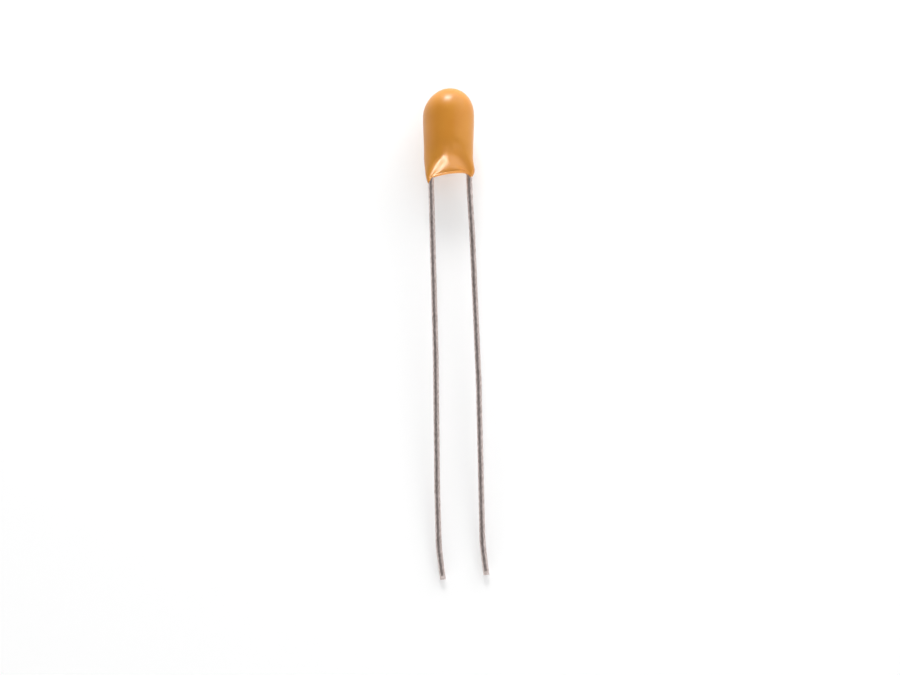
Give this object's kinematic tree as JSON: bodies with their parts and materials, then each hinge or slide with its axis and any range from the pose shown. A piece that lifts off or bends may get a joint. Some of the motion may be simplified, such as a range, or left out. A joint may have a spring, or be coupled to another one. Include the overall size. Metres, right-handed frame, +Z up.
{
  "type": "tantalum capacitor",
  "caption": "Dipped tantalum capacitor: a glossy golden resin bead with a domed top, scooped between its round wire leads, at rest on its back.",
  "frame": {"origin": "middle of the part's bounding box, on the floor that it lies on", "axes": "+Y along the bead from the lead tips to the dome, +Z up through the bead's front, +X across the leads from the positive to the negative"},
  "size_m": [0.0058, 0.0439, 0.0043],
  "materials": {
    "epoxy_resin": "glossy",
    "tinned_wire": "satin",
    "sintered_tantalum": "matt",
    "tantalum_wire": "satin",
    "fluoropolymer": "waxy",
    "manganese_dioxide": "matt",
    "graphite": "matt",
    "silver_paint": "satin",
    "solder": "satin"
  },
  "bodies": {
    "root": {"resin_coat": "epoxy_resin", "positive_lead": "tinned_wire", "negative_lead": "tinned_wire", "anode_slug": "sintered_tantalum", "riser_wire": "tantalum_wire", "insulating_washer": "fluoropolymer", "dioxide_layer": "manganese_dioxide", "graphite_layer": "graphite", "silver_layer": "silver_paint", "solder_coat": "solder"}
  },
  "joints": []
}
